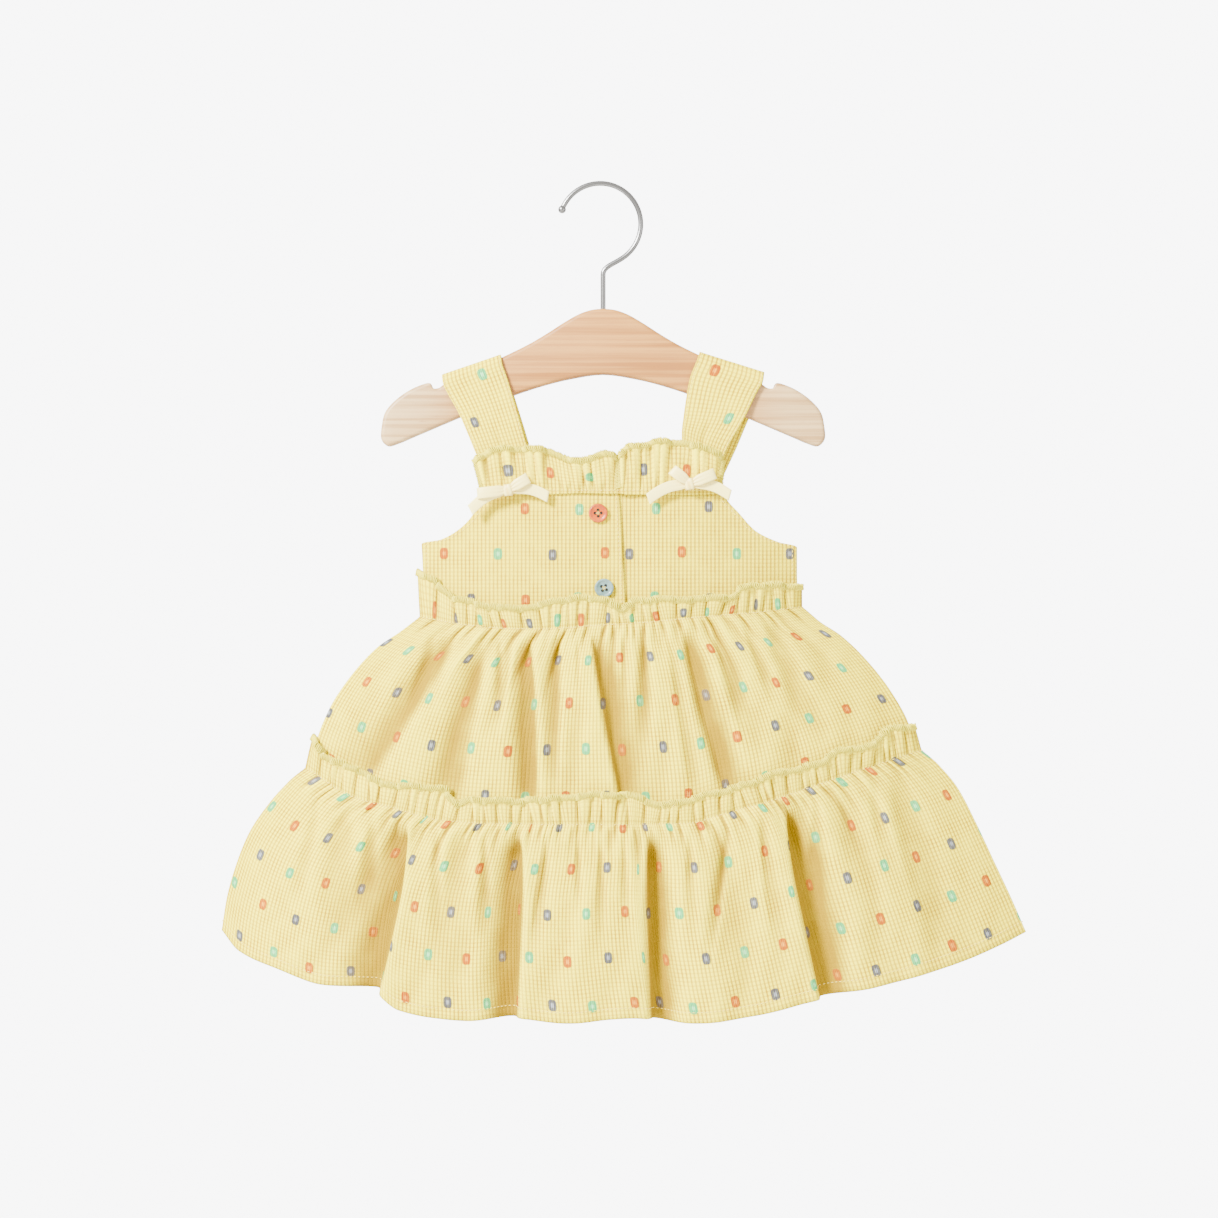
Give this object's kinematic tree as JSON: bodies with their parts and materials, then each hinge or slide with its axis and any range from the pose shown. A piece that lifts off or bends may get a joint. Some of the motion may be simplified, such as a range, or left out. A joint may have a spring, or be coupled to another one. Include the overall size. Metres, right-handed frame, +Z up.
{
  "type": "sundress on a clothes hanger",
  "caption": "Child's sleeveless sundress with two gathered skirt tiers, ruffled neckline, wide straps, small bows and front buttons, hanging on a flat wooden hanger with a wire hook.",
  "frame": {"origin": "inside of the hook's crown, where the rail carries it", "axes": "+Z up, the front of the dress faces -Y, +X to the right as seen from the front"},
  "size_m": [0.5438, 0.0866, 0.5645],
  "materials": {
    "dress_cloth": "soft yellow checked cotton waffle with small woven flecks",
    "strap_cloth": "the same checked cotton, doubled",
    "ruffle_cloth": "the same checked cotton, gathered, with an overlocked edge",
    "ribbon": "cream satin ribbon",
    "button_coral": "polished",
    "button_blue": "polished",
    "wood": "clear satin lacquer on beech",
    "hook": "bright wire"
  },
  "bodies": {
    "root": {"hanger_wood": "wood", "hanger_hook": "hook", "strap_left": "strap_cloth", "strap_right": "strap_cloth", "bodice_front_lap": "dress_cloth", "bodice_front_under": "dress_cloth", "bodice_back": "dress_cloth", "neck_ruffle_lap": "ruffle_cloth", "neck_ruffle_under": "ruffle_cloth", "upper_tier_front": "dress_cloth", "upper_tier_back": "dress_cloth", "lower_tier_front": "dress_cloth", "lower_tier_back": "dress_cloth", "bow_left": "ribbon", "bow_right": "ribbon", "button_coral": "button_coral", "button_blue": "button_blue"}
  },
  "joints": []
}
